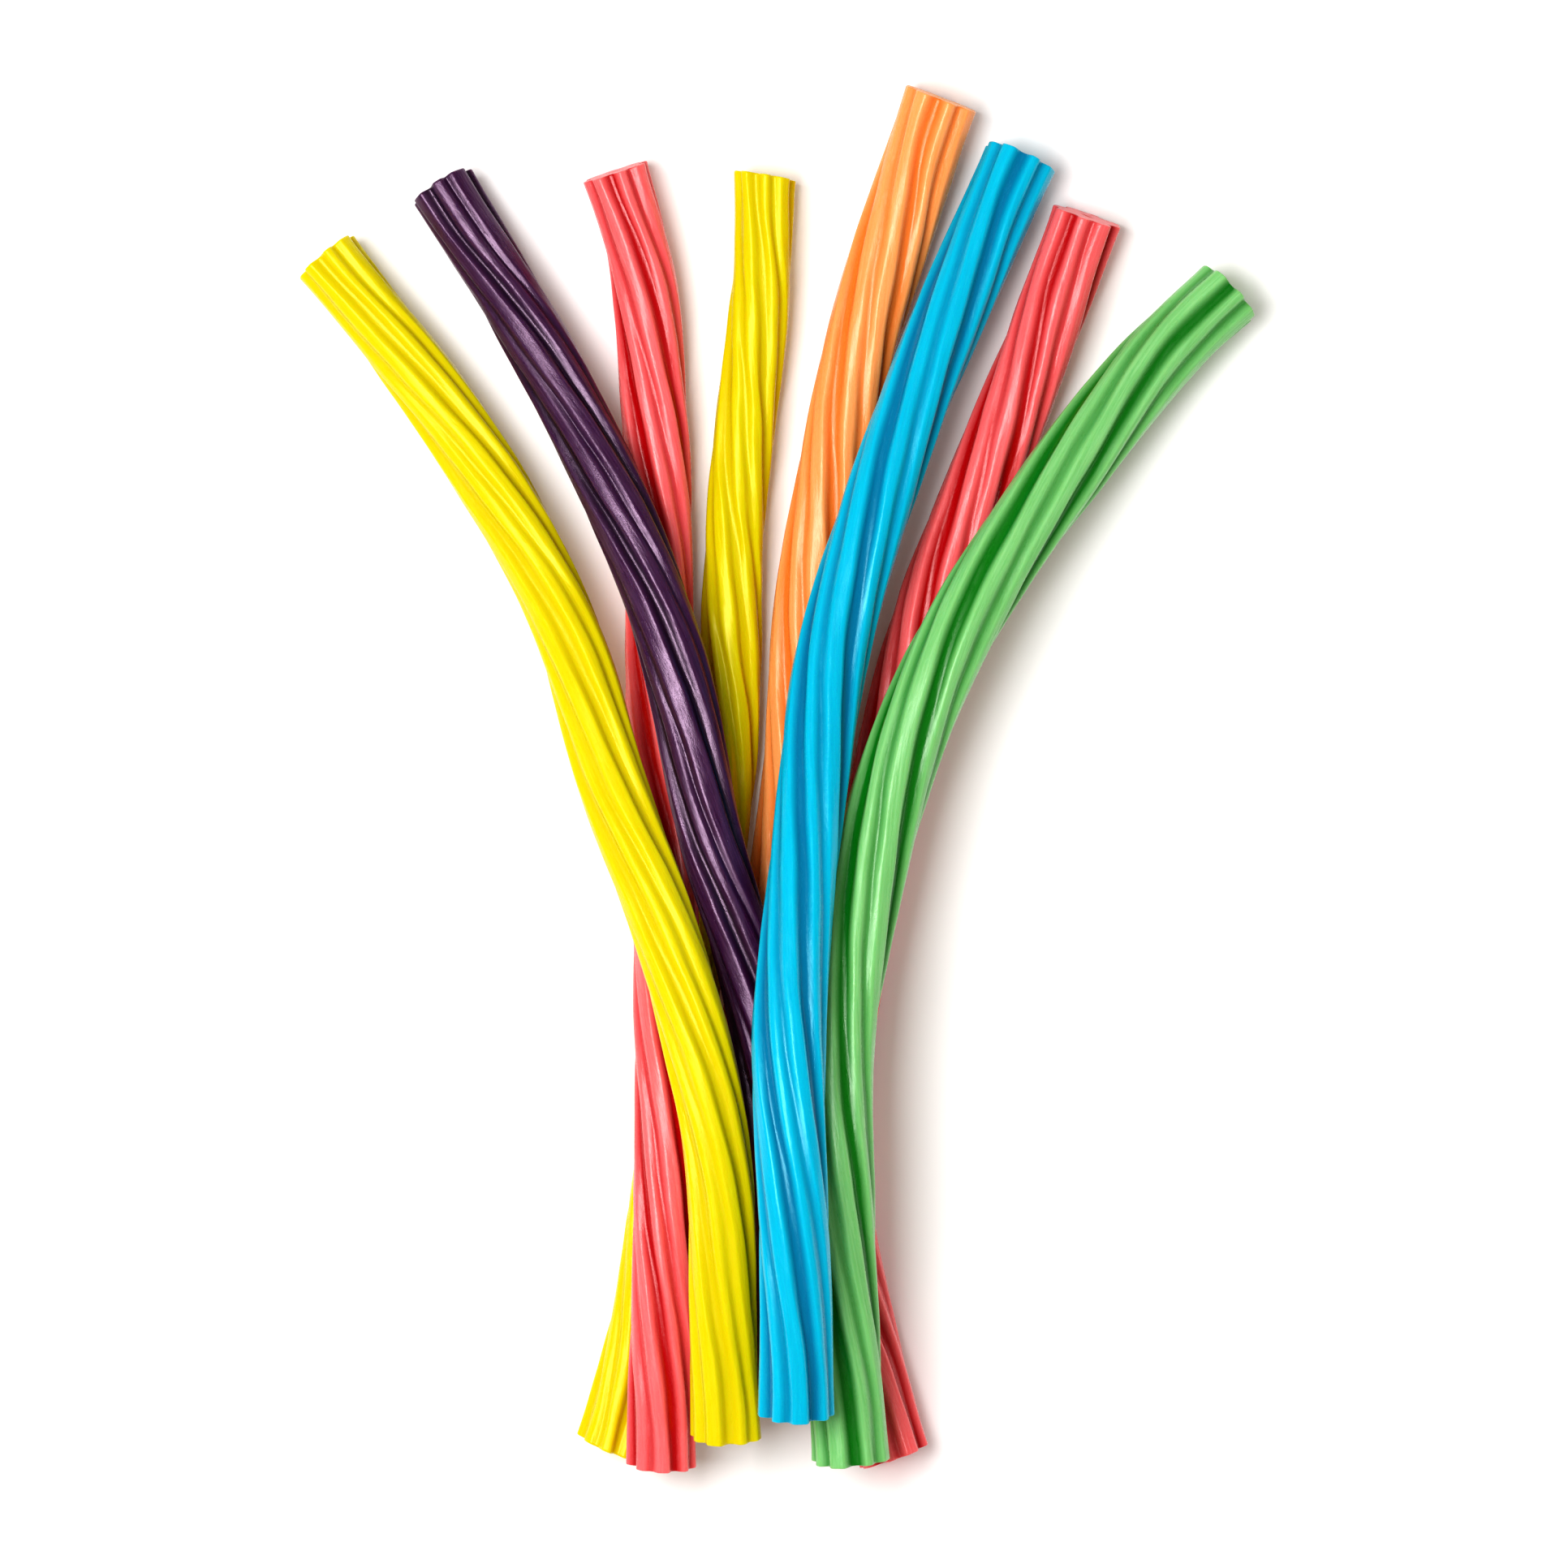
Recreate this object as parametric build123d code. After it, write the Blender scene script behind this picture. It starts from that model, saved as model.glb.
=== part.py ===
"""A loose pile of eight ribbed, twisted, hollow candy sticks.

Each stick is one extrusion: a fluted outline round a small pinched bore, turned steadily as it
runs along a gently bent line. The sticks fan out at the +Y end and lie two and three deep at the
-Y end. Millimetres, +Z up, the table at Z = 0, +Y along the pile, and the origin on the table
under the middle of the pile.
"""
from build123d import *
import math
import os

# ---- driving dimensions ----
GROOVE_RATIO = 0.83           # radius at the bottom of a groove over the radius at a crest
BORE_HALF_WIDTH = 1.3         # the bore is pinched flat, with two sharp corners
BORE_HALF_HEIGHT = 0.7
STRAIGHT_END = 16.0           # the twist fades in and out over this length at each cut end
SECTIONS = 33                 # outlines that one stick is drawn through

# Where the grooves lie round a stick, in degrees, and how high the rib after each one stands,
# as a share of the stick's crest radius.
GROOVE_ANGLES = [0, 52, 91, 139, 178, 230, 268, 315]
RIB_HEIGHTS = [1.0, 0.96, 1.0, 0.95, 1.0, 0.97, 1.0, 0.96]

# Each stick, lowest in the pile first: its crest radius, the turn of its outline at the +Y end
# in degrees, the length in which a rib would go once round it, and the line that its middle
# follows, from its +Y end to its -Y end. A stick whose middle lies lower than its crest radius
# is pressed flat where it rests on the table.
STICKS = {
    "yellow_twist_middle": (4.9, 20, 165.0, [
        (-1.6, 94.2, 4.7), (-2.3, 77.2, 4.7), (-4.4, 58.2, 4.7), (-6.6, 35.4, 4.7),
        (-7.0, 13.9, 4.7), (-8.4, -5.1, 4.7), (-12.4, -27.9, 4.7), (-15.9, -49.4, 4.7),
        (-19.1, -72.2, 4.7), (-21.5, -86.1, 4.7), (-26.4, -104.4, 4.7)]),
    "orange_twist": (6.0, 5, 200.0, [
        (25.9, 106.3, 5.8), (18.9, 86.0, 5.8), (12.7, 65.8, 5.8), (8.7, 45.5, 5.8),
        (5.7, 27.8, 5.8), (4.2, 10.1, 5.8), (2.3, -10.2, 5.8), (-1.5, -31.7, 5.8),
        (-4.8, -52.0, 5.8), (-7.5, -71.0, 5.8), (-9.6, -91.2, 5.8)]),
    "red_twist_right": (5.8, 30, 185.0, [
        (48.7, 87.9, 5.6), (42.2, 70.8, 5.6), (34.1, 50.6, 5.6), (25.5, 30.1, 5.6),
        (19.6, 10.1, 5.6), (15.0, -10.2, 5.6), (11.2, -30.4, 5.6), (9.0, -50.7, 5.6),
        (9.7, -68.4, 5.6), (13.2, -86.1, 5.6), (18.5, -105.8, 5.6)]),
    "red_twist_left": (5.4, 12, 170.0, [
        (-25.1, 94.9, 5.2), (-21.0, 79.7, 5.2), (-19.3, 63.2, 5.2), (-18.3, 43.0, 5.2),
        (-18.2, 22.7, 5.6), (-18.3, 2.5, 8.2), (-17.4, -17.8, 13.0), (-16.8, -38.0, 15.6),
        (-16.8, -58.3, 16.2), (-17.5, -81.1, 15.5), (-17.8, -107.0, 12.0)]),
    "purple_twist": (5.3, 25, 215.0, [
        (-52.0, 92.4, 5.1), (-38.8, 70.8, 8.4), (-28.2, 50.6, 12.8), (-19.6, 30.3, 16.6),
        (-13.9, 10.1, 18.0), (-9.9, -10.2, 19.3), (-3.9, -30.4, 18.8), (-0.2, -49.4, 17.4),
        (1.4, -73.5, 13.5), (2.3, -95.3, 7.2)]),
    "green_twist": (6.1, 8, 235.0, [
        (70.6, 75.9, 5.9), (59.9, 65.8, 7.6), (51.2, 55.6, 10.0), (39.6, 40.4, 13.9),
        (26.9, 20.2, 17.4), (18.5, 0.0, 18.8), (13.2, -20.3, 20.6), (9.8, -40.6, 23.6),
        (9.4, -60.8, 24.2), (10.1, -81.1, 21.0), (11.7, -106.0, 16.6)]),
    "yellow_twist_left": (5.5, 15, 230.0, [
        (-70.1, 81.6, 5.3), (-54.0, 60.7, 7.8), (-41.0, 40.4, 11.0), (-31.5, 20.2, 15.2),
        (-25.6, 0.0, 20.2), (-18.3, -20.3, 25.0), (-12.3, -40.6, 27.2), (-8.8, -60.8, 25.8),
        (-8.2, -81.1, 22.7), (-7.7, -102.4, 18.5)]),
    "blue_twist": (5.8, 0, 225.0, [
        (38.3, 96.9, 5.6), (31.0, 81.0, 8.6), (22.3, 60.7, 12.8), (15.0, 40.4, 16.2),
        (9.1, 20.2, 19.0), (5.9, 0.0, 23.4), (3.6, -20.3, 29.0), (2.0, -41.8, 33.6),
        (2.5, -60.8, 34.8), (3.2, -81.1, 32.4), (3.2, -98.6, 28.4)]),
}


def twist_angle(distance, length, pitch):
    """Turn of the outline, in degrees, at a distance from the +Y end of a stick: its rate rises
    evenly to full over STRAIGHT_END, stays there, and falls off again towards the other end.
    The ribs are left-handed, so the turn is negative."""
    rise = min(distance, STRAIGHT_END)
    fall = max(distance - (length - STRAIGHT_END), 0.0)
    full = distance - rise - fall
    faded = rise ** 2 / (2 * STRAIGHT_END) + fall - fall ** 2 / (2 * STRAIGHT_END)
    return -360.0 / pitch * (full + faded)


def on_plane(plane, radius, degrees):
    angle = math.radians(degrees)
    return plane.from_local_coords((radius * math.cos(angle), radius * math.sin(angle)))


def fluted_outline(plane, crest_radius, turn):
    """Closed wire of one arc over each rib, from groove to groove."""
    starts = [angle + turn for angle in GROOVE_ANGLES]
    ends = starts[1:] + [starts[0] + 360]
    arcs = []
    for start, end, height in zip(starts, ends, RIB_HEIGHTS):
        groove = on_plane(plane, crest_radius * GROOVE_RATIO, start)
        crest = on_plane(plane, crest_radius * height, (start + end) / 2)
        next_groove = on_plane(plane, crest_radius * GROOVE_RATIO, end)
        arcs.append(Edge.make_three_point_arc(groove, crest, next_groove))
    return Wire(arcs)


def bore_outline(plane, turn):
    """Closed wire of two shallow arcs that meet in two corners."""
    corner = on_plane(plane, BORE_HALF_WIDTH, turn)
    far_corner = on_plane(plane, BORE_HALF_WIDTH, turn + 180)
    top = on_plane(plane, BORE_HALF_HEIGHT, turn + 90)
    bottom = on_plane(plane, BORE_HALF_HEIGHT, turn + 270)
    return Wire([Edge.make_three_point_arc(corner, top, far_corner),
                 Edge.make_three_point_arc(far_corner, bottom, corner)])


def make_stick(crest_radius, start_turn, pitch, route):
    """Solid drawn through fluted outlines square to the route, with the bore taken out and
    whatever would reach below the table cut off flat."""
    line = Edge.make_spline([Vector(*point) for point in route])
    outer_wires = []
    bore_wires = []
    for number in range(SECTIONS):
        along = number / (SECTIONS - 1)
        forward = line.tangent_at(along)
        side = forward.cross(Vector(0, 0, 1))
        plane = Plane(line.position_at(along), x_dir=side, z_dir=forward)
        turn = start_turn + twist_angle(along * line.length, line.length, pitch)
        outer_wires.append(fluted_outline(plane, crest_radius, turn))
        bore_wires.append(bore_outline(plane, turn))
    stick = Solid.make_loft(outer_wires) - Solid.make_loft(bore_wires)
    lowest = stick.bounding_box().min.Z
    if lowest < 0:
        stick = split(stick, bisect_by=Plane.XY, keep=Keep.TOP)
    return stick, line.length


def main():
    os.makedirs("parts", exist_ok=True)
    for name, (crest_radius, start_turn, pitch, route) in STICKS.items():
        stick, length = make_stick(crest_radius, start_turn, pitch, route)
        stick.label = name
        export_step(stick, f"parts/{name}.step")
        print(f"{name}: {length:.1f} mm long, {stick.volume:.0f} mm3")


main()
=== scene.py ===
"""The looks of a loose pile of ribbed, twisted, hollow candy sticks in six colours.

Each stick is one closed surface: a ribbed outline carried along its bent line and turned as it
goes, closed over both cut ends into a pinched bore that runs right through. The shapes are worked
out in millimetres and put into metres when a mesh is made. +Z is up, the table is at Z = 0, and
+Y is the fanned-out end of the pile.
"""

import math

import bpy
import numpy as np
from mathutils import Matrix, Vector


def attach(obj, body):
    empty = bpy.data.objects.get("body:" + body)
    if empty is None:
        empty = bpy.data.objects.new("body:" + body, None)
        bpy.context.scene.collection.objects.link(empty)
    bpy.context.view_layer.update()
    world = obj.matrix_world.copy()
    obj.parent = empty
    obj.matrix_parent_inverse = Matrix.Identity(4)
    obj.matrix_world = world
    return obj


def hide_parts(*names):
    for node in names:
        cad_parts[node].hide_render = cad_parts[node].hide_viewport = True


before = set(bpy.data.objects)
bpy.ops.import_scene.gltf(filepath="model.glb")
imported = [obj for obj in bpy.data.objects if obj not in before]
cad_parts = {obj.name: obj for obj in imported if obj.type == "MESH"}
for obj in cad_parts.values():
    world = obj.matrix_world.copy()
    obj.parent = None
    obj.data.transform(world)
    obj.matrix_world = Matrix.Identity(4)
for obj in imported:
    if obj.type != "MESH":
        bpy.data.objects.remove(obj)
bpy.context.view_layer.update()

MM = 0.001

# ---- the grid of a stick ----
COLUMNS = 208                 # round it
ROWS_ALONG = 270              # evenly spaced down the outside, from FIRST_EVEN_ROW off each end
ROWS_CUT = 9                  # over each cut, from the rim to the bore
ROWS_BORE = 26                # back through the bore
FIRST_EVEN_ROW = 1.2
RIM_ROWS = np.array([0.0, 0.05, 0.16, 0.34, 0.7])   # closer rows where the outside meets a cut

# ---- the ribs, in degrees round a stick and as shares of its crest radius ----
GROOVES = np.array([0.0, 52.0, 91.0, 139.0, 178.0, 230.0, 268.0, 315.0])
RIB_HEIGHTS = np.array([1.0, 0.96, 1.0, 0.95, 1.0, 0.97, 1.0, 0.96])
RIB_WIDTHS = np.array([1.08, 0.94, 1.04, 0.90, 1.08, 0.96, 1.02, 0.98])
VALLEY_DEPTH = 0.23
VALLEY_SHARES = np.array([1.0, 0.62, 0.95, 0.55, 1.0, 0.66, 0.90, 0.60])
PAIRING = 7.0                 # how far a rib would move away from a full valley, to one of no depth
WALL = 5.2                    # half the width of a rib's wall
WALL_CORNERS = 0.32           # how round a wall's foot and top are, as a share of WALL
CROWN_FLATNESS = 0.55         # 0 is a round rib top, 1 is one cut straight across

# ---- the ends ----
STRAIGHT_END = 16.0           # the twist fades out over this length
FLARE, FLARE_REACH = 0.045, 4.0           # a stick widens by this share towards its cuts
DEEPER, DEEPER_REACH = 0.05, 6.0          # and its valleys deepen by this share
RIM_ROUNDING = 0.22           # radius of the rounded rim of a cut
CUT_SLANT_REACH = 2.5         # the slant of a cut fades out over this length
CUT_BAND = 0.10               # the outside takes the finish of the cut this close to it

# ---- the bore ----
BORE_HALF_LONG = 1.25
BORE_HALF_THIN = 0.62
BORE_BEND = 0.22              # how far the pinched bore waves to and fro

TABLE_GAP = 0.02              # a stick is pressed flat at this height over the table

# For each stick: its colour, crest radius, start turn, rib pitch, how wide its ribs are as a share
# of their spacing, how wavy its ribs are, the slant of the cut at its +Y end and at its -Y end
# (how far the top and the side of the cut lie back), and its line.
STICKS = {
    "yellow_twist_middle": ("yellow", 4.9, 20, 165.0, 0.54, 1.8, (-0.2, -0.7), (-0.6, 0.6), [
        (-1.6, 94.2, 4.7), (-2.3, 77.2, 4.7), (-4.4, 58.2, 4.7), (-6.6, 35.4, 4.7),
        (-7.0, 13.9, 4.7), (-8.4, -5.1, 4.7), (-12.4, -27.9, 4.7), (-15.9, -49.4, 4.7),
        (-19.1, -72.2, 4.7), (-21.5, -86.1, 4.7), (-26.4, -104.4, 4.7)]),
    "orange_twist": ("orange", 6.0, 5, 200.0, 0.56, 1.0, (0.4, -0.2), (0.2, 0.2), [
        (25.9, 106.3, 5.8), (18.9, 86.0, 5.8), (12.7, 65.8, 5.8), (8.7, 45.5, 5.8),
        (5.7, 27.8, 5.8), (4.2, 10.1, 5.8), (2.3, -10.2, 5.8), (-1.5, -31.7, 5.8),
        (-4.8, -52.0, 5.8), (-7.5, -71.0, 5.8), (-9.6, -91.2, 5.8)]),
    "red_twist_right": ("red", 5.8, 30, 185.0, 0.54, 1.0, (0.7, 0.2), (-0.5, -0.4), [
        (48.7, 87.9, 5.6), (42.2, 70.8, 5.6), (34.1, 50.6, 5.6), (25.5, 30.1, 5.6),
        (19.6, 10.1, 5.6), (15.0, -10.2, 5.6), (11.2, -30.4, 5.6), (9.0, -50.7, 5.6),
        (9.7, -68.4, 5.6), (13.2, -86.1, 5.6), (18.5, -105.8, 5.6)]),
    "red_twist_left": ("red", 5.4, 12, 170.0, 0.54, 1.0, (0.45, 0.1), (-0.3, 0.2), [
        (-25.1, 94.9, 5.2), (-21.0, 79.7, 5.2), (-19.3, 63.2, 5.2), (-18.3, 43.0, 5.2),
        (-18.2, 22.7, 5.6), (-18.3, 2.5, 8.2), (-17.4, -17.8, 13.0), (-16.8, -38.0, 15.6),
        (-16.8, -58.3, 16.2), (-17.5, -81.1, 15.5), (-17.8, -107.0, 12.0)]),
    "purple_twist": ("purple", 5.3, 25, 215.0, 0.66, 1.1, (-0.7, 0.0), (0.2, 0.2), [
        (-52.0, 92.4, 5.1), (-38.8, 70.8, 8.4), (-28.2, 50.6, 12.8), (-19.6, 30.3, 16.6),
        (-13.9, 10.1, 18.0), (-9.9, -10.2, 19.3), (-3.9, -30.4, 18.8), (-0.2, -49.4, 17.4),
        (1.4, -73.5, 13.5), (2.3, -95.3, 7.2)]),
    "green_twist": ("green", 6.1, 8, 235.0, 0.55, 0.8, (-0.9, 0.2), (-0.2, 0.0), [
        (70.6, 75.9, 5.9), (59.9, 65.8, 7.6), (51.2, 55.6, 10.0), (39.6, 40.4, 13.9),
        (26.9, 20.2, 17.4), (18.5, 0.0, 18.8), (13.2, -20.3, 20.6), (9.8, -40.6, 23.6),
        (9.4, -60.8, 24.2), (10.1, -81.1, 21.0), (11.7, -106.0, 16.6)]),
    "yellow_twist_left": ("yellow", 5.5, 15, 230.0, 0.56, 0.9, (-0.3, 0.1), (-0.3, 0.1), [
        (-70.1, 81.6, 5.3), (-54.0, 60.7, 7.8), (-41.0, 40.4, 11.0), (-31.5, 20.2, 15.2),
        (-25.6, 0.0, 20.2), (-18.3, -20.3, 25.0), (-12.3, -40.6, 27.2), (-8.8, -60.8, 25.8),
        (-8.2, -81.1, 22.7), (-7.7, -102.4, 18.5)]),
    "blue_twist": ("blue", 5.8, 0, 225.0, 0.56, 0.7, (-0.2, 0.0), (-0.1, 0.0), [
        (38.3, 96.9, 5.6), (31.0, 81.0, 8.6), (22.3, 60.7, 12.8), (15.0, 40.4, 16.2),
        (9.1, 20.2, 19.0), (5.9, 0.0, 23.4), (3.6, -20.3, 29.0), (2.0, -41.8, 33.6),
        (2.5, -60.8, 34.8), (3.2, -81.1, 32.4), (3.2, -98.6, 28.4)]),
}


# ---------------------------------------------------------------- shape of a stick

def smooth_line(points):
    """The line through the points: between two of them it is a cubic in the distance along the
    chords, slopes and bends agree where two pieces meet, and neither end bends. Returned as
    closely spaced places and the distance to each."""
    points = np.asarray(points, dtype=float)
    chords = np.linalg.norm(np.diff(points, axis=0), axis=1)
    knots = np.concatenate([[0.0], np.cumsum(chords)])
    last = len(points) - 1
    system = np.eye(last + 1)
    inner = np.arange(1, last)
    system[inner, inner] = 2 * (chords[:-1] + chords[1:])
    system[inner, inner - 1] = chords[:-1]
    system[inner, inner + 1] = chords[1:]
    slopes = np.diff(points, axis=0) / chords[:, None]
    right = np.zeros_like(points)
    right[1:last] = 6 * np.diff(slopes, axis=0)
    bends = np.linalg.solve(system, right)
    samples = 3000
    walk = np.linspace(0.0, knots[-1], samples)
    piece = np.clip(np.searchsorted(knots, walk, side="right") - 1, 0, last - 1)
    chord = chords[piece][:, None]
    near = (knots[piece + 1] - walk)[:, None] / chord
    far = 1.0 - near
    places = (near * points[piece] + far * points[piece + 1]
              + ((near ** 3 - near) * bends[piece] + (far ** 3 - far) * bends[piece + 1])
              * chord ** 2 / 6)
    steps = np.linalg.norm(np.diff(places, axis=0), axis=1)
    return places, np.concatenate([[0.0], np.cumsum(steps)])


def directions(places, walked, distance):
    """For each distance along the line: its place, the way ahead there, and the two ways square
    to it, of which the first is level and the second points down."""
    def at(somewhere):
        return np.stack([np.interp(somewhere, walked, places[:, axis]) for axis in range(3)], -1)

    step = 0.4
    forward = at(distance + step) - at(distance - step)
    forward /= np.linalg.norm(forward, axis=-1, keepdims=True)
    side = np.cross(forward, (0.0, 0.0, 1.0))
    side /= np.linalg.norm(side, axis=-1, keepdims=True)
    return at(distance), forward, side, np.cross(forward, side)


def twist_angle(distance, length, pitch):
    """Turn of the outline in degrees at a distance from the +Y end: minus a full turn for each
    pitch, with the rate fading to nothing over STRAIGHT_END at each end."""
    rise = np.minimum(distance, STRAIGHT_END)
    fall = np.maximum(distance - (length - STRAIGHT_END), 0.0)
    full = distance - rise - fall
    faded = rise ** 2 / (2 * STRAIGHT_END) + fall - fall ** 2 / (2 * STRAIGHT_END)
    return -360.0 / pitch * (full + faded)


def rib_table(rib_share):
    """Centre and half-width of each rib, in degrees: half-way between the grooves on both sides
    of it, moved towards the shallower one, so that ribs stand in pairs."""
    spans = np.diff(np.append(GROOVES, 360.0))
    paired = PAIRING * (VALLEY_SHARES - np.roll(VALLEY_SHARES, -1))
    return GROOVES + spans / 2 + paired, spans / 2 * rib_share * RIB_WIDTHS


def column_angles(centres, half_widths):
    """Angles of the columns: evenly spread over the sum of a steady share and a bell at each
    rib's two walls, so that the walls and their rounded edges get most of them."""
    bell_height, bell_width = 4.0, 4.5
    fine = np.linspace(0.0, 360.0, 360 * 20 + 1)
    walls = np.concatenate([centres - half_widths, centres + half_widths])
    away = (fine[:, None] - walls + 180.0) % 360.0 - 180.0
    share = 1.0 + bell_height * np.exp(-(away / bell_width) ** 2).sum(axis=1)
    total = np.concatenate([[0.0], np.cumsum((share[1:] + share[:-1]) / 2)])
    return np.interp(np.arange(COLUMNS) / COLUMNS * total[-1], total, fine)


def ribbed_outline(angles, centres, half_widths, heights):
    """Radius, as a share of the crest radius, at each angle: valley floors, deep and shallow by
    turns, and over each rib a nearly flat top. A wall is a ramp with both its corners rounded:
    half of the difference of two softened distances to its foot and its top. Also returns how
    much of each place belongs to a rib."""
    away = (angles[..., None] - centres + 180.0) % 360.0 - 180.0
    inside = (half_widths - np.abs(away)) / WALL
    ramp = 0.5 + (np.sqrt((inside + 1) ** 2 + WALL_CORNERS ** 2)
                  - np.sqrt((inside - 1) ** 2 + WALL_CORNERS ** 2)) / 4
    chord = np.cos(np.radians(half_widths)) / np.cos(np.radians(np.clip(away, -30, 30)))
    on_rib = np.abs(away) < half_widths + 6.0      # the rib's top and both its walls
    top = heights * (1.0 - CROWN_FLATNESS * (1.0 - chord) * on_rib)
    share = np.interp(angles, np.append(GROOVES, 360.0), np.append(VALLEY_SHARES, 1.0))
    floor = 1.0 - VALLEY_DEPTH * share
    outline = floor + ((top - floor[..., None]) * ramp).sum(axis=-1)
    # the rib share also sets where the colour paints valley shade; shallow valleys count partly as
    # rib and get less of it
    return outline, 1.0 - (1.0 - ramp.sum(axis=-1)) * share


def wave(distance, angle, seed, parts):
    """Sum of sine waves: each part has a size, a length along the stick and a number of waves
    round it, and starts at a place that depends on the seed."""
    total = 0.0
    for number, (size, length, around) in enumerate(parts):
        start = 2.399 * (seed * 7 + number * 3 + 1)
        total = total + size * np.sin(2 * math.pi * distance / length
                                      + around * np.radians(angle) + start)
    return total


def outside(seed, radius, rib_share, wavy, length, distance, columns):
    """The outside of a stick before it is twisted, as X and Y round its line: the ribbed outline,
    uneven in height and width along the stick, flared and with deeper valleys near the cuts, and
    rounded at the rims. Also returns how much of each place belongs to a rib."""
    centres, half_widths = rib_table(rib_share)
    heights = RIB_HEIGHTS * (1.0 + wave(distance[..., None], 0.0, seed, [(0.012, 47.0, 0)])
                             + 0.010 * np.sin(distance[..., None] / 13.0 + centres * 3.1 + seed))
    share, rib = ribbed_outline(columns, centres, half_widths, heights)
    share = share + wavy * wave(distance, columns, seed, [(0.004, 23.0, 3), (0.002, 9.0, 7)])
    share = share * (1.0 + wave(distance, 0.0, seed, [(0.010, 71.0, 0), (0.008, 29.0, 0)]))
    end_gap = np.minimum(distance, length - distance)
    share = share * (1.0 + FLARE * np.exp(-end_gap / FLARE_REACH))
    share = share - DEEPER * (1.0 - rib) * np.exp(-end_gap / DEEPER_REACH)
    into_rim = np.clip(1.0 - end_gap / RIM_ROUNDING, 0.0, 1.0)
    reach = radius * share - RIM_ROUNDING * (1.0 - np.sqrt(1.0 - into_rim ** 2))
    lean = wavy * wave(distance, columns, seed + 5,
                       [(1.6, 58.0, 1), (1.3, 33.0, 2), (0.7, 15.0, 4)])
    angle = np.radians(columns + lean)
    return reach * np.cos(angle), reach * np.sin(angle), rib


def bore_outline(seed, columns):
    """The bore as X and Y round the line: a flat ellipse, bent to and fro by a sine of X, and a
    little wider or narrower from one stick to the next."""
    half_long = BORE_HALF_LONG + 0.1 * math.sin(seed * 1.7)
    half_thin = BORE_HALF_THIN + 0.06 * math.sin(seed * 2.9)
    x = half_long * np.cos(np.radians(columns))
    return x, half_thin * np.sin(np.radians(columns)) + BORE_BEND * np.sin(x * 2.2)


def stick_surface(seed, radius, start_turn, pitch, rib_share, wavy, top_cut, tail_cut, route):
    """Grid of places that closes both ways: rows run down the outside, over the cut at the -Y
    end, back through the bore and over the other cut. Also returns, for each place, a position
    that follows the surface without its twist, and how much it belongs to a cut and to a rib."""
    places, walked = smooth_line(route)
    length = walked[-1]
    even = np.linspace(FIRST_EVEN_ROW, length - FIRST_EVEN_ROW, ROWS_ALONG)
    along = np.concatenate([RIM_ROWS, even, length - RIM_ROWS[::-1]])
    columns = column_angles(*rib_table(rib_share))
    distance, angle = np.meshgrid(along, columns, indexing="ij")
    outer_x, outer_y, rib = outside(seed, radius, rib_share, wavy, length, distance, angle)
    bore_x, bore_y = bore_outline(seed, columns)

    inwards = np.linspace(0.0, 1.0, ROWS_CUT + 1)[1:, None]
    outwards = inwards[::-1]
    back = np.linspace(length, 0.0, ROWS_BORE + 2)[1:-1]
    in_bore = np.ones((ROWS_BORE, 1))
    local_x = np.concatenate([outer_x, outer_x[-1] + (bore_x - outer_x[-1]) * inwards,
                              bore_x * in_bore, outer_x[0] + (bore_x - outer_x[0]) * outwards])
    local_y = np.concatenate([outer_y, outer_y[-1] + (bore_y - outer_y[-1]) * inwards,
                              bore_y * in_bore, outer_y[0] + (bore_y - outer_y[0]) * outwards])
    rows = np.concatenate([along, np.full(ROWS_CUT, length), back, np.zeros(ROWS_CUT)])
    full = np.ones((ROWS_CUT, COLUMNS))
    none = np.zeros((ROWS_BORE, COLUMNS))
    near_cut = np.clip(1.0 - np.minimum(distance, length - distance) / CUT_BAND, 0.0, 1.0)
    cut = np.concatenate([near_cut, full, none, full])
    rib = np.concatenate([rib, full, none, full])

    place, forward, side, down = directions(places, walked, rows)
    spin = np.radians(start_turn + twist_angle(rows, length, pitch))[:, None]
    to_side = local_x * np.cos(spin) - local_y * np.sin(spin)
    to_down = local_x * np.sin(spin) + local_y * np.cos(spin)
    from_head = np.exp(-rows / CUT_SLANT_REACH)[:, None]
    from_tail = np.exp(-(length - rows) / CUT_SLANT_REACH)[:, None]
    head_pull = (top_cut[1] * to_side - top_cut[0] * to_down) / radius * from_head
    tail_pull = (tail_cut[1] * to_side - tail_cut[0] * to_down) / radius * from_tail
    grid = (place[:, None] + side[:, None] * to_side[..., None] + down[:, None] * to_down[..., None]
            + forward[:, None] * (head_pull - tail_pull)[..., None])
    grid[..., 2] = np.maximum(grid[..., 2], TABLE_GAP)
    follow = np.stack([local_x, local_y, rows[:, None] + np.zeros(COLUMNS)], axis=-1)
    return grid, follow, cut, rib


def closed_both_ways(name, grid, follow, cut, rib):
    """Mesh object from a grid of places that closes both along and across: each face joins a
    place to the next column, the next row, and back."""
    rows, columns = grid.shape[:2]
    row, column = np.meshgrid(np.arange(rows), np.arange(columns), indexing="ij")
    next_row, next_column = (row + 1) % rows, (column + 1) % columns
    faces = np.stack([row * columns + column, row * columns + next_column,
                      next_row * columns + next_column, next_row * columns + column], axis=-1)
    mesh = bpy.data.meshes.new(name)
    mesh.from_pydata(grid.reshape(-1, 3) * MM, [], faces.reshape(-1, 4))
    mesh.polygons.foreach_set("use_smooth", np.ones(rows * columns, dtype=bool))
    mesh.attributes.new("follow", "FLOAT_VECTOR", "POINT")
    mesh.attributes["follow"].data.foreach_set("vector", follow.reshape(-1).astype(np.float32))
    for word, values in (("cut", cut), ("rib", rib)):
        mesh.attributes.new(word, "FLOAT", "POINT")
        mesh.attributes[word].data.foreach_set("value", values.reshape(-1).astype(np.float32))
    mesh.update()
    piece = bpy.data.objects.new(name, mesh)
    bpy.context.scene.collection.objects.link(piece)
    return piece
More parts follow.
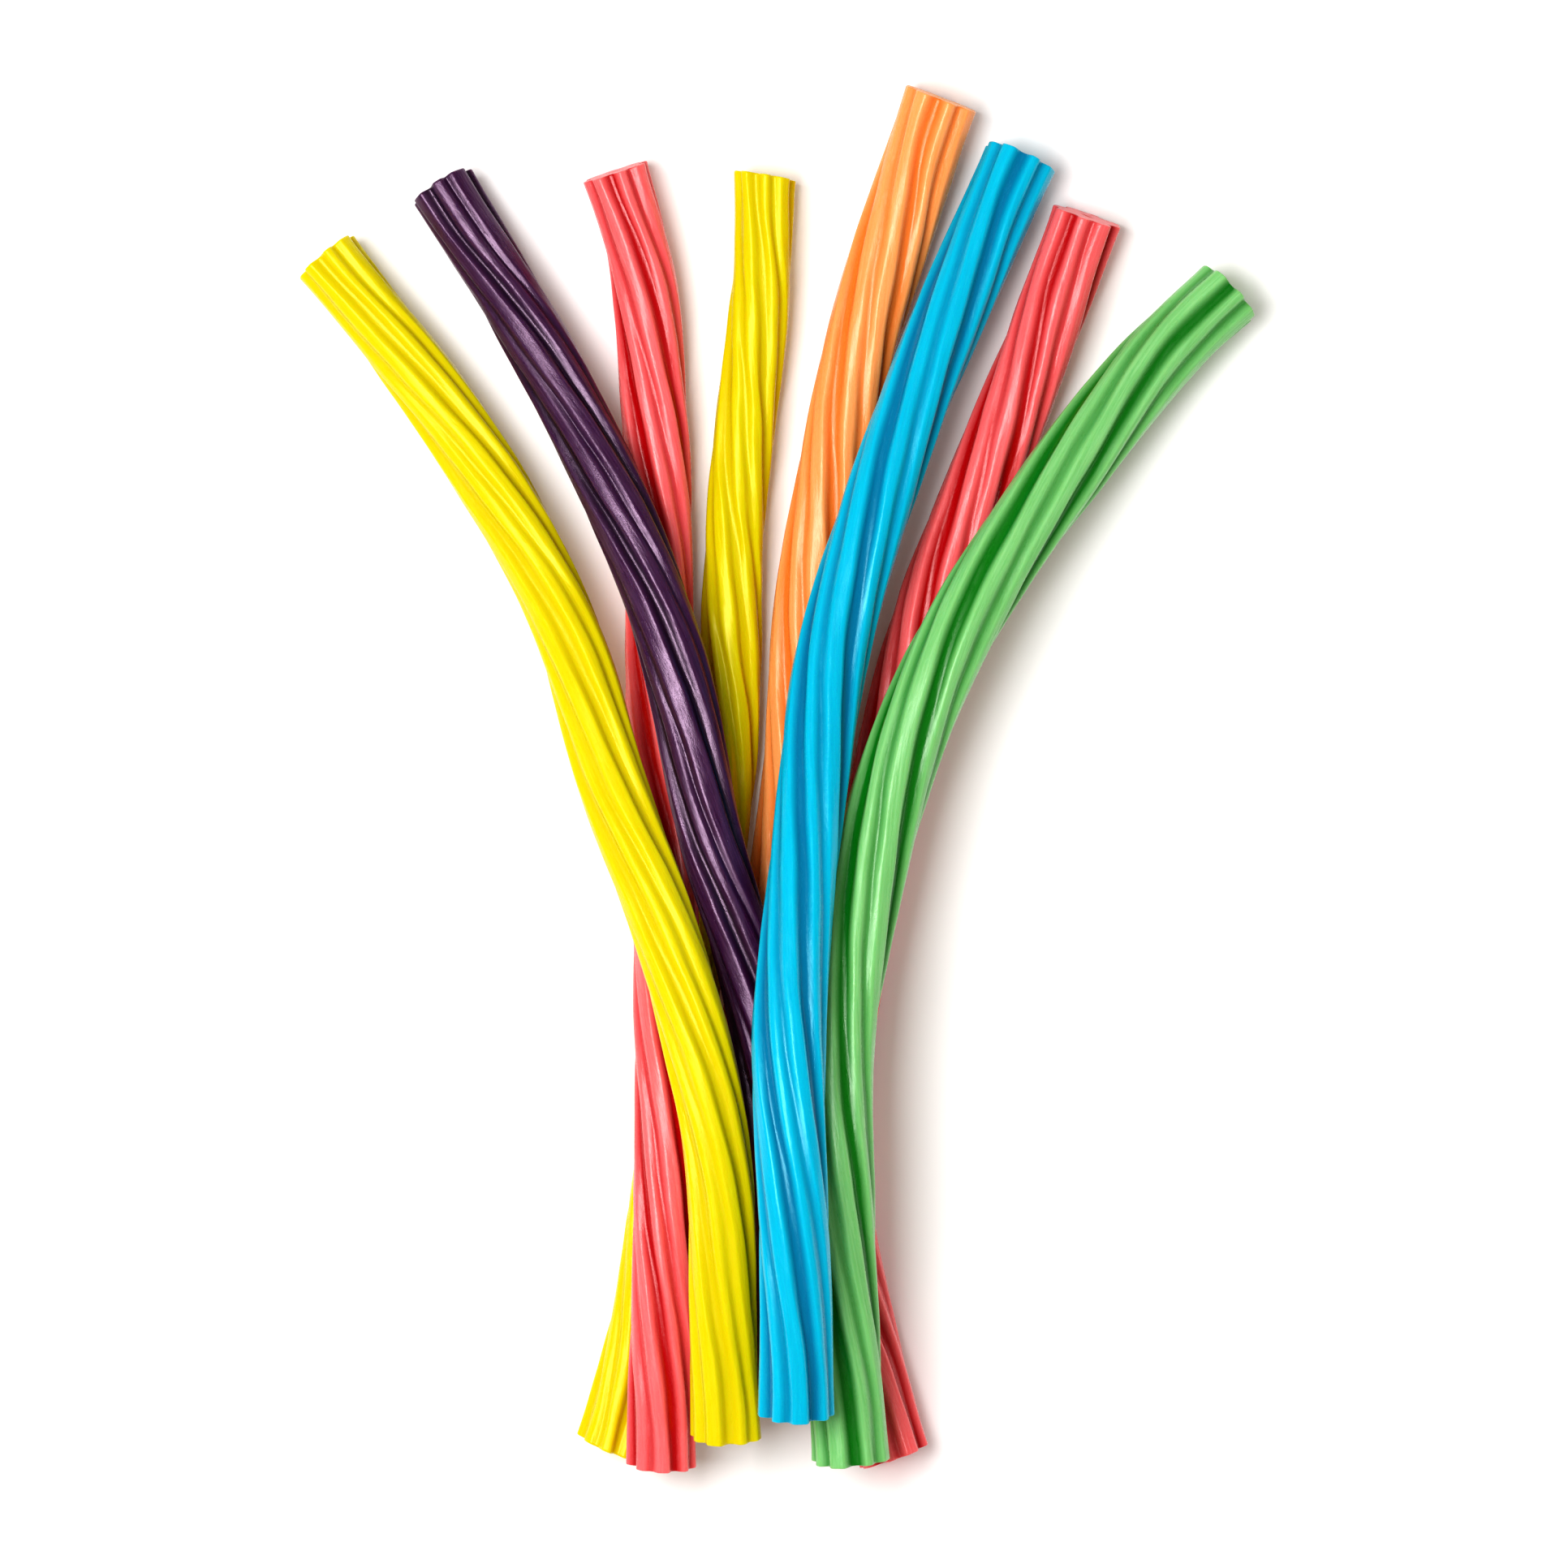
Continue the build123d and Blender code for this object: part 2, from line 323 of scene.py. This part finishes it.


# ---------------------------------------------------------------- finish of the candy

# For each colour: the candy's own colour, its colour down in the valleys (painted shade), its paler
# colour (streaks that are partly painted sheen on the rib tops, and the cut), the tint of its
# gloss, how pitted it is, how rough, how strongly it shines, and how much clear glaze lies over it.
CANDY = {
    "yellow": ((0.655, 0.555, 0.000), (0.640, 0.510, 0.000), (0.750, 0.660, 0.006),
               (1.00, 0.90, 0.22), 0.10, 0.27, 0.50, 0.05),
    "purple": ((0.034, 0.003, 0.036), (0.008, 0.000, 0.010), (0.100, 0.036, 0.104),
               (1.00, 0.70, 0.97), 1.00, 0.31, 1.00, 0.00),
    "red": ((0.900, 0.135, 0.140), (0.430, 0.000, 0.002), (0.940, 0.220, 0.225),
            (1.00, 0.60, 0.60), 0.30, 0.24, 0.55, 0.12),
    "orange": ((0.920, 0.325, 0.095), (0.790, 0.185, 0.024), (0.940, 0.420, 0.165),
               (1.00, 0.78, 0.60), 0.20, 0.25, 0.50, 0.12),
    "blue": ((0.000, 0.440, 0.640), (0.000, 0.170, 0.320), (0.000, 0.520, 0.720),
             (0.25, 0.90, 1.00), 0.20, 0.22, 0.50, 0.12),
    "green": ((0.190, 0.520, 0.165), (0.002, 0.160, 0.004), (0.320, 0.650, 0.280),
              (0.80, 1.00, 0.75), 0.25, 0.28, 0.50, 0.10),
}


def rgba(colour):
    return (colour[0], colour[1], colour[2], 1.0)


class Brush:
    """Adds nodes to one material and joins them up. A value is a number, a colour or a socket."""

    def __init__(self, material):
        material.use_nodes = True
        self.nodes = material.node_tree.nodes
        self.links = material.node_tree.links
        self.shader = self.nodes["Principled BSDF"]

    def give(self, socket, value):
        if isinstance(value, tuple):
            socket.default_value = rgba(value)
        elif isinstance(value, (int, float)):
            socket.default_value = value
        else:
            self.links.new(value, socket)

    def attribute(self, name, output="Fac"):
        node = self.nodes.new("ShaderNodeAttribute")
        node.attribute_name = name
        return node.outputs[output]

    def stretched(self, vector, along):
        """The vector scaled so that a pattern on it is drawn out along the stick."""
        node = self.nodes.new("ShaderNodeMapping")
        node.inputs["Scale"].default_value = (1.0, 1.0, along)
        self.links.new(vector, node.inputs["Vector"])
        return node.outputs["Vector"]

    def noise(self, vector, scale, detail, roughness=0.5):
        node = self.nodes.new("ShaderNodeTexNoise")
        node.inputs["Scale"].default_value = scale
        node.inputs["Detail"].default_value = detail
        node.inputs["Roughness"].default_value = roughness
        self.links.new(vector, node.inputs["Vector"])
        return node.outputs["Fac"]

    def cells(self, vector, scale):
        """Distance from the nearest of many scattered points."""
        node = self.nodes.new("ShaderNodeTexVoronoi")
        node.inputs["Scale"].default_value = scale
        self.links.new(vector, node.inputs["Vector"])
        return node.outputs["Distance"]

    def remap(self, value, low, high, to_low, to_high):
        node = self.nodes.new("ShaderNodeMapRange")
        node.inputs["From Min"].default_value = low
        node.inputs["From Max"].default_value = high
        node.inputs["To Min"].default_value = to_low
        node.inputs["To Max"].default_value = to_high
        self.links.new(value, node.inputs["Value"])
        return node.outputs["Result"]

    def mixed(self, share, one, two):
        node = self.nodes.new("ShaderNodeMix")
        node.data_type = "RGBA"
        self.links.new(share, node.inputs["Factor"])
        self.give(node.inputs[6], one)
        self.give(node.inputs[7], two)
        return node.outputs[2]

    def combined(self, operation, one, two):
        node = self.nodes.new("ShaderNodeMath")
        node.operation = operation
        self.give(node.inputs[0], one)
        self.give(node.inputs[1], two)
        return node.outputs["Value"]


def candy_colour(brush, follow, streaks, rib, cut, own, valley_shade, pale_and_sheen):
    """Painted shade in the valleys (a deeper colour), the candy's own on the ribs, both drifting
    slowly, with pale streaks along the rib tops only, partly real streaks and partly painted sheen,
    and a paler cut."""
    drift = brush.noise(brush.stretched(follow, 0.12), 0.45, 3.0)
    # painted shade: the deeper colour fills the valleys and the own colour the rib tops, shifted a
    # little by a slow random drift
    out_of_valley_shade = brush.combined("ADD", brush.remap(rib, 0.10, 0.85, 0.0, 1.0),
                          brush.remap(drift, 0.30, 0.70, -0.14, 0.0))
    body = brush.mixed(out_of_valley_shade, valley_shade, own)
    # pale streaks only on the rib tops: partly real streaks, partly painted sheen where the light
    # falls on the ribs
    streak_and_sheen = brush.combined("MULTIPLY", brush.remap(streaks, 0.42, 0.72, 0.0, 1.0),
                              brush.remap(rib, 0.55, 1.0, 0.0, 0.55))
    body = brush.mixed(streak_and_sheen, body, pale_and_sheen)
    return brush.mixed(brush.remap(cut, 0.5, 1.0, 0.0, 0.45), body, pale_and_sheen)


def candy_roughness(brush, patches, cut, rough):
    """Uneven gloss, and a duller cut."""
    uneven = brush.remap(patches, 0.30, 0.70, rough - 0.07, rough + 0.12)
    return brush.combined("ADD", uneven, brush.remap(cut, 0.5, 1.0, 0.0, 0.25))


def candy_relief(brush, follow, streaks, patches, pits):
    """Height of the surface: soft patches, fine streaks, grain, and pits in scattered groups."""
    grain = brush.noise(follow, 5.0, 3.0)
    holes = brush.remap(brush.cells(brush.stretched(follow, 0.8), 2.1), 0.05, 0.16, 1.0, 0.0)
    groups = brush.noise(brush.stretched(follow, 0.5), 0.9, 2.0)
    holes = brush.combined("MULTIPLY", holes, brush.remap(groups, 0.48, 0.62, 0.0, 1.0))
    height = brush.combined("ADD", brush.combined("MULTIPLY", streaks, 0.14),
                            brush.combined("MULTIPLY", patches, 0.7))
    height = brush.combined("ADD", height,
                            brush.combined("MULTIPLY", grain, 0.08 + 0.14 * pits))
    return brush.combined("SUBTRACT", height, brush.combined("MULTIPLY", holes, 0.5 * pits))


def candy_material(colour):
    """Glossy, slightly translucent candy in one of the colours."""
    own, valley_shade, pale_and_sheen, tint, pits, rough, shine, glaze = CANDY[colour]
    material = bpy.data.materials.new(colour + "_candy")
    brush = Brush(material)
    follow = brush.attribute("follow", "Vector")
    # rib share: the colour paints shade into the valleys and sheen onto the rib tops by it
    rib = brush.attribute("rib")
    cut = brush.attribute("cut")
    streaks = brush.noise(brush.stretched(follow, 0.035), 3.2, 4.0, 0.6)
    patches = brush.noise(brush.stretched(follow, 0.22), 1.3, 4.0, 0.65)

    inputs = brush.shader.inputs
    brush.give(inputs["Base Color"],
               candy_colour(brush, follow, streaks, rib, cut, own, valley_shade, pale_and_sheen))
    brush.give(inputs["Roughness"], candy_roughness(brush, patches, cut, rough))
    bump = brush.nodes.new("ShaderNodeBump")
    bump.inputs["Strength"].default_value = 0.55
    bump.inputs["Distance"].default_value = 0.22 * MM
    brush.give(bump.inputs["Height"], candy_relief(brush, follow, streaks, patches, pits))
    brush.give(inputs["Normal"], bump.outputs["Normal"])

    inputs["IOR"].default_value = 1.47
    inputs["Specular IOR Level"].default_value = shine
    inputs["Specular Tint"].default_value = rgba(tint)
    inputs["Subsurface Weight"].default_value = 0.35
    inputs["Subsurface Radius"].default_value = (1.0, 0.45, 0.25)
    inputs["Subsurface Scale"].default_value = 2.2 * MM
    inputs["Coat Weight"].default_value = glaze
    inputs["Coat Roughness"].default_value = 0.16
    return material


FINISHES = {colour: candy_material(colour) for colour in CANDY}

for seed, (name, (colour, *shape)) in enumerate(STICKS.items()):
    stick = closed_both_ways(name + "_candy", *stick_surface(seed, *shape))
    stick.data.materials.append(FINISHES[colour])
    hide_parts(name)
    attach(stick, name)


# ---------------------------------------------------------------- table, light and camera

def plain_table():
    """A white table top with a faint warm glow, for the light that comes through the candy."""
    reach = 4.0
    mesh = bpy.data.meshes.new("table")
    mesh.from_pydata([(-reach, -reach, 0), (reach, -reach, 0), (reach, reach, 0),
                      (-reach, reach, 0)], [], [(0, 1, 2, 3)])
    table = bpy.data.objects.new("table", mesh)
    bpy.context.scene.collection.objects.link(table)
    white = bpy.data.materials.new("white_table")
    white.use_nodes = True
    inputs = white.node_tree.nodes["Principled BSDF"].inputs
    inputs["Base Color"].default_value = (0.93, 0.93, 0.93, 1.0)
    inputs["Roughness"].default_value = 0.9
    inputs["Specular IOR Level"].default_value = 0.0
    inputs["Emission Color"].default_value = (1.0, 0.62, 0.40, 1.0)
    inputs["Emission Strength"].default_value = 0.03
    mesh.materials.append(white)


def soft_box(name, place, size, power):
    """A square lamp that faces the middle of the pile."""
    middle_of_pile = Vector((0, 0, 0.015))
    data = bpy.data.lights.new(name, "AREA")
    data.shape = "SQUARE"
    data.size = size
    data.energy = power
    lamp = bpy.data.objects.new(name, data)
    lamp.location = place
    lamp.rotation_mode = "QUATERNION"
    lamp.rotation_quaternion = (middle_of_pile - Vector(place)).to_track_quat("-Z", "Y")
    bpy.context.scene.collection.objects.link(lamp)


def dim_room(light, mirrored):
    """An even, slightly warm light from all round, which glossy surfaces mirror more dimly."""
    world = bpy.data.worlds.new("studio")
    world.use_nodes = True
    nodes, links = world.node_tree.nodes, world.node_tree.links
    nodes["Background"].inputs["Color"].default_value = (1.0, 0.95, 0.92, 1.0)
    path = nodes.new("ShaderNodeLightPath")
    strength = nodes.new("ShaderNodeMapRange")
    strength.inputs["To Min"].default_value = light
    strength.inputs["To Max"].default_value = mirrored
    links.new(path.outputs["Is Glossy Ray"], strength.inputs["Value"])
    links.new(strength.outputs["Result"], nodes["Background"].inputs["Strength"])
    bpy.context.scene.world = world


def camera_overhead(view_width, x, y, z):
    """A camera with a long lens, straight above a place, as high as the width of its view needs."""
    data = bpy.data.cameras.new("camera")
    data.lens = 500.0
    data.sensor_width = 36.0
    data.clip_end = 20.0
    camera = bpy.data.objects.new("camera", data)
    camera.location = (x, y, z + view_width * data.lens / data.sensor_width)
    bpy.context.scene.collection.objects.link(camera)
    bpy.context.scene.camera = camera


plain_table()
soft_box("key", (-0.30, 0.03, 0.90), 0.46, 8.6)
dim_room(0.46, 0.12)
camera_overhead(244.6 * MM, 1.3 * MM, -0.8 * MM, 10.0 * MM)
bpy.context.scene.view_settings.view_transform = "Standard"
bpy.context.scene.view_settings.look = "Medium High Contrast"
